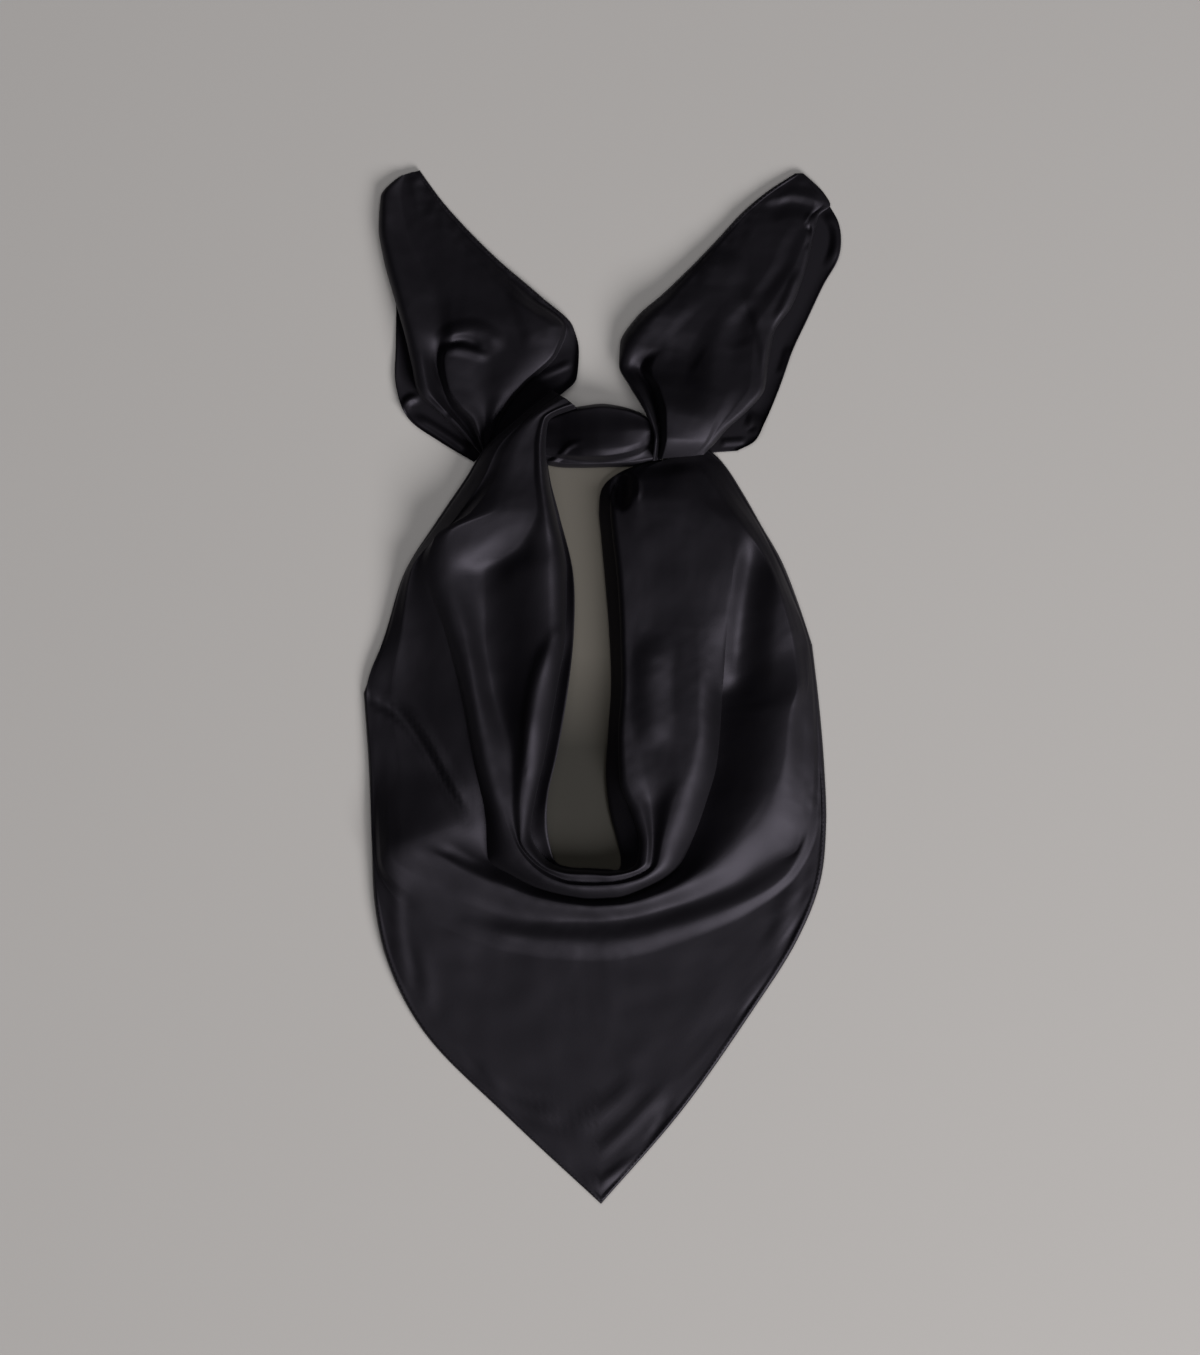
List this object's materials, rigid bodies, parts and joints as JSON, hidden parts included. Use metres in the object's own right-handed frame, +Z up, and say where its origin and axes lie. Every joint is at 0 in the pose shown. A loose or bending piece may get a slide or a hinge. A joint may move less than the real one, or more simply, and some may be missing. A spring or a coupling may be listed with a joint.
{
  "type": "scarf",
  "caption": "Black satin square scarf, folded into a triangle, gathered into a pleated cowl and tied once, lying flat with both ends spread.",
  "frame": {"origin": "centre of the scarf's outline, on the surface it lies on", "axes": "+Z up from the surface, +Y from the hanging point towards the two tied ends, +X to the right seen from above"},
  "size_m": [0.2617, 0.5676, 0.0305],
  "materials": {
    "satin": "black satin with a soft sheen"
  },
  "bodies": {
    "root": {"front_drape": "satin", "knot": "satin", "left_tail": "satin", "left_tail_ply": "satin", "right_tail": "satin", "right_tail_ply": "satin"}
  },
  "joints": []
}
